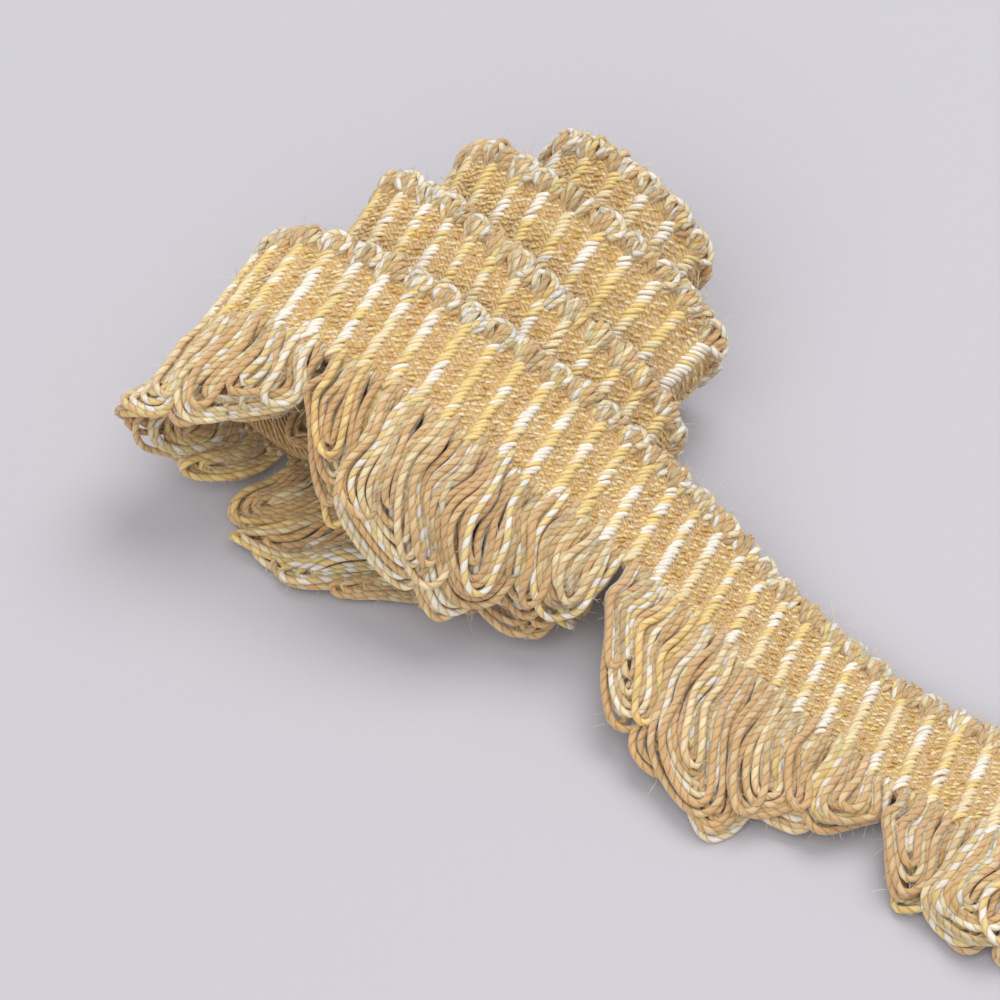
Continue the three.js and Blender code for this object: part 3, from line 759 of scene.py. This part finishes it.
def fan_loops(index, layers, step):
    """A fan's loops. In the sheet's own measures a loop is a hairpin: out along one
    leg, half an ellipse at the tip and back along the other leg. Towards the tips
    all lean to the fan's first end, and legs swing together in slow ripples."""
    random = np.random.default_rng(100 + index)
    start = FIRST_VALLEY + index * FAN_PITCH
    sets = [nest_loops(random, start, layer) for layer in layers]
    middle, half, radius, reach = [np.concatenate(part)[:, None] for part in zip(*sets)]
    count = len(middle)
    level = np.repeat([layer[0] for layer in layers], [len(part[0]) for part in sets])[:, None]
    length = np.linalg.norm(tip_reach(middle), axis=-1)
    depth = radius * np.minimum(1.0, NEST_DEPTH * length / half)
    leg = length - np.minimum(half, NEST_DEPTH * length) + BOUND_EDGE + HIDDEN_ROOT
    leg = leg + random.uniform(*UNEVEN_LEGS, (count, 1))
    u = np.linspace(0.0, 1.0, LOOP_POINTS)[None, :] * (2 * leg + np.pi * radius)
    bend = np.clip((u - leg) / radius, 0.0, np.pi)
    y = np.minimum(u, leg) + depth * np.sin(bend) - np.clip(u - leg - np.pi * radius, 0.0, None)
    loose = smooth((y - HIDDEN_ROOT) / COMES_FREE)
    q = (y - BOUND_EDGE - HIDDEN_ROOT) / length * np.where(y > BOUND_EDGE + HIDDEN_ROOT, reach, 1.0)
    belly = FOOT_SHARE + (1.0 - FOOT_SHARE) * smooth(q / 0.6)
    s = middle + radius * np.cos(bend) * belly
    foot = middle + FOOT_SHARE * radius * np.sign(np.cos(bend))
    rib_middle = (np.floor(foot / RIB_PITCH) + 0.5) * RIB_PITCH
    s = s + BUNCHED * (rib_middle - foot) * (1.0 - loose)
    far_out = np.clip(q, 0.0, 1.2)
    into = (s - start) / FAN_PITCH
    s = s - LEAN[index] * (s - start) * far_out**3
    curl = CURL[index] * into**2 * np.clip(length / CURL_FULL, 0.0, 1.0)
    s = s + curl * smooth(q / 0.5) * np.sin(2.0 * CURL_WAVES * np.pi * far_out)
    s = s + loose * ripples(random, s, y, *SWING)
    own = random.uniform(0.0, 0.35, (count, 1))
    waves = y * random.uniform(0.3, 0.8, (count, 1)) + random.uniform(0, 6.28, (count, 1))
    s = s + own * loose * np.sin(waves)
    s = np.clip(s, start + FAN_BORDER, start + FAN_PITCH - FAN_BORDER)
    p = fan_sheet(s, q)
    ahead = fan_sheet(s, q + NEAR_Q) - fan_sheet(s, q - NEAR_Q)
    aside = fan_sheet(s + NEAR_S, q) - fan_sheet(s - NEAR_S, q)
    out = unit(np.cross(aside, ahead))
    over = level + LEG_STEP * np.cos(bend) + random.uniform(-0.15, 0.15, (count, 1))
    over = over + loose * ripples(random, s, y, *HEAVE)
    over = over * (ROOT_SPREAD + (1.0 - ROOT_SPREAD) * loose)
    over = over + ROOT_RISE * (1.0 - loose) * smooth(y / HIDDEN_ROOT)
    p = p + out * over[..., None]
    for _ in range(ROUNDING):
        p[:, 1:-1] = (p[:, :-2] + 2.0 * p[:, 1:-1] + p[:, 2:]) / 4.0
    p[..., 2] = np.maximum(p[..., 2], YARN_RADIUS + FLOOR_SHARE * (level - LAYERS[0][0]))
    made = tube_mesh(p, out, step=step, radius=YARN_RADIUS, sides=6,
                     dye=pick_plies(random, count), tip=0.7, tip_length=0.5)
    return made, p, out


# The last four fans are hidden in the coil: two layers and longer steps do for them.
FAN_COUNT = 10
SEEN_FANS = 6
SEEN_STEP = 0.65
HIDDEN_STEP = 1.0
HIDDEN_LAYERS = LAYERS[:2]
loop_lines = []
loop_outs = []
for number in range(1, FAN_COUNT + 1):
    if number <= SEEN_FANS:
        made, lines, outs = fan_loops(number - 1, LAYERS, SEEN_STEP)
    else:
        made, lines, outs = fan_loops(number - 1, HIDDEN_LAYERS, HIDDEN_STEP)
    fan = make_piece(f"fan_{number:02d}_loops", *made, two_ply)
    loop_lines.append(lines)
    loop_outs.append(outs)
    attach(fan, "root")
    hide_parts(f"fan_{number:02d}")


# Between two ribs the heading's root edge is bound with short two-ply yarns. They
# turn down over it, so that no plain edge shows between the bunches of loops.
EDGE_YARNS = 4
EDGE_PITCH = 0.52
EDGE_STARTS = 0.9           # how far into the heading they begin
EDGE_HEIGHT = 0.72
EDGE_ARCH = 0.2
EDGE_DROP = 1.1
EDGE_MARGIN = 0.3           # kept free at both ends of the strip
EDGE_RADIUS = 0.34


def edge_yarns():
    """Each yarn comes out of a valley's end, bends over the root edge and ends under
    it: x falls straight and h drops as a smooth step."""
    random = np.random.default_rng(14)
    valley, strand = every_pair(RIBS + 1, EDGE_YARNS)
    count = len(valley)
    lay = (strand - (EDGE_YARNS - 1) / 2) * EDGE_PITCH + random.uniform(-0.12, 0.12, count)
    t = np.linspace(0.0, 1.0, 11)[None, :]
    reach = random.uniform(1.2, 2.2, count)[:, None]
    x = EDGE_STARTS - (EDGE_STARTS + reach) * t
    drop = EDGE_DROP * smooth(t) * random.uniform(0.7, 1.2, count)[:, None]
    h = EDGE_HEIGHT + EDGE_ARCH * np.sin(np.pi * t) - drop
    s = (valley * RIB_PITCH + lay)[:, None] + random.uniform(-0.6, 0.6, count)[:, None] * t
    s = np.clip(s, EDGE_MARGIN, HEADING_LENGTH - EDGE_MARGIN)
    dye = pick_plies(random, count)
    return tube_mesh(on_heading(s, x, h), strip(s)[3], step=0.5, radius=EDGE_RADIUS, sides=6,
                     dye=dye, tip=0.4, tip_length=0.5)


edges = make_piece("root_edge_yarns", *edge_yarns(), two_ply)
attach(edges, "root")


# Stray fibres of the staple yarn work loose and stand off the loops and the picot
# edge as a thin fuzz. They are about 0.02 mm thick, and are drawn at 0.056 mm so
# that they show.
HAIRS = 7000
HAIR_RADIUS = 0.028
HAIR_SHORTEST = 0.6
HAIR_LONGER = 1.3           # the most that is added to it
SHARE_ON_LOOPS = 0.55       # the rest stand on the heading and its picot edge
SHARE_ON_KNOBS = 0.6        # of that rest
KNOB_TIP = 14.2             # the knobs' place off the root line
BARE_ROOT = 18              # points at a loop's roots that bear no hair
HAIR_DYE = linear("#F5E8CE")


def stray_fibre():
    """Single fibres: pale, thin and half clear."""
    material = bpy.data.materials.new("stray_fibre")
    material.use_nodes = True
    made = material.node_tree.nodes["Principled BSDF"]
    made.inputs["Base Color"].default_value = (*HAIR_DYE, 1.0)
    made.inputs["Roughness"].default_value = 0.6
    made.inputs["Alpha"].default_value = 0.75
    return material


def fuzz():
    """Each hair starts on a loop, a rib or a knob and stands off it, bending as the
    square of the share passed; lengths follow a squared draw, so that few are long."""
    random = np.random.default_rng(15)
    lines = np.concatenate(loop_lines[:SEEN_FANS])
    outs = np.concatenate(loop_outs[:SEEN_FANS])
    on_loops = int(HAIRS * SHARE_ON_LOOPS)
    loop = random.integers(0, len(lines), on_loops)
    at = random.integers(BARE_ROOT, lines.shape[1] - BARE_ROOT, on_loops)
    s = random.uniform(1.0, HEADING_LENGTH - 1.0, HAIRS - on_loops)
    on_knob = random.random(len(s)) < SHARE_ON_KNOBS
    x = np.where(on_knob, KNOB_TIP, random.uniform(0.5, HEADING_WIDTH, len(s)))
    on_band = on_heading(s, x, np.where(x > HEADING_WIDTH, 0.3, 1.2))
    start = np.concatenate([lines[loop, at], on_band])
    out = np.concatenate([outs[loop, at], strip(s)[3]])
    way = unit(unit(random.normal(size=(HAIRS, 3))) + 0.5 * out)
    side = unit(np.cross(way, random.normal(size=(HAIRS, 3))))
    length = (HAIR_SHORTEST + HAIR_LONGER * random.random(HAIRS) ** 2)[:, None, None]
    t = np.linspace(0.0, 1.0, 4)[None, :, None]
    curl = random.uniform(0.6, 1.5, HAIRS)[:, None, None]
    paths = start[:, None] + length * (t * way[:, None] + curl * t * t * side[:, None])
    paths[..., 2] = np.maximum(paths[..., 2], 0.05)
    normals = np.broadcast_to(np.cross(way, side)[:, None], paths.shape)
    dye = np.tile(HAIR_DYE, (HAIRS, 1))
    return tube_mesh(paths, normals, step=2.0, radius=HAIR_RADIUS, sides=3, dye=dye,
                     tip=0.5, tip_length=0.5)


hairs = make_piece("stray_fibres", *fuzz(), stray_fibre())
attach(hairs, "root")


# The picture: a plain pale lavender floor, a soft light from behind on the right, a
# larger one in front on the left, and even fill from all round.
FLOOR_COLOUR = linear("#B9B8BF")
FLOOR_HALF = 2.0            # metres
FILL_COLOUR = (0.97, 0.96, 1.0, 1.0)
FILL_STRENGTH = 0.5
CAMERA_AIM = Vector((-0.01972, 0.01305, 0.0))
CAMERA_DISTANCE = 0.42
CAMERA_ELEVATION = math.radians(50.0)
CAMERA_LENS = 136.08

floor_mesh = bpy.data.meshes.new("floor")
floor_corners = [(x * FLOOR_HALF, y * FLOOR_HALF, 0.0) for x, y in [(-1, -1), (1, -1), (1, 1), (-1, 1)]]
floor_mesh.from_pydata(floor_corners, [], [(0, 1, 2, 3)])
floor = bpy.data.objects.new("floor", floor_mesh)
bpy.context.scene.collection.objects.link(floor)
card = bpy.data.materials.new("matt_card")
card.use_nodes = True
card.node_tree.nodes["Principled BSDF"].inputs["Base Color"].default_value = (*FLOOR_COLOUR, 1.0)
card.node_tree.nodes["Principled BSDF"].inputs["Roughness"].default_value = 0.9
floor_mesh.materials.append(card)

camera = bpy.data.objects.new("camera", bpy.data.cameras.new("camera"))
bpy.context.scene.collection.objects.link(camera)
camera.data.lens = CAMERA_LENS
camera.data.sensor_width = 36.0
camera.data.clip_start = 0.01
back = Vector((0.0, -math.cos(CAMERA_ELEVATION), math.sin(CAMERA_ELEVATION)))
camera.location = CAMERA_AIM + CAMERA_DISTANCE * back
camera.rotation_euler = (math.pi / 2 - CAMERA_ELEVATION, 0.0, 0.0)
bpy.context.scene.camera = camera

LAMPS = [
    # name, width of the round panel, watts, place and colour
    ("key_panel", 0.7, 4.9, (0.24, 0.30, 0.80), (1.0, 0.985, 0.96)),
    ("front_panel", 1.4, 8.0, (-0.32, -0.62, 0.82), (1.0, 0.975, 0.94)),
]
for name, width, watts, place, colour in LAMPS:
    panel = bpy.data.lights.new(name, "AREA")
    panel.shape = "DISK"
    panel.size = width
    panel.energy = watts
    panel.color = colour
    lamp = bpy.data.objects.new(name, panel)
    bpy.context.scene.collection.objects.link(lamp)
    lamp.location = place
    lamp.rotation_euler = (-lamp.location).to_track_quat("-Z", "Y").to_euler()

world = bpy.data.worlds.new("studio")
world.use_nodes = True
world.node_tree.nodes["Background"].inputs["Color"].default_value = FILL_COLOUR
world.node_tree.nodes["Background"].inputs["Strength"].default_value = FILL_STRENGTH
bpy.context.scene.world = world
bpy.context.scene.view_settings.view_transform = "Standard"
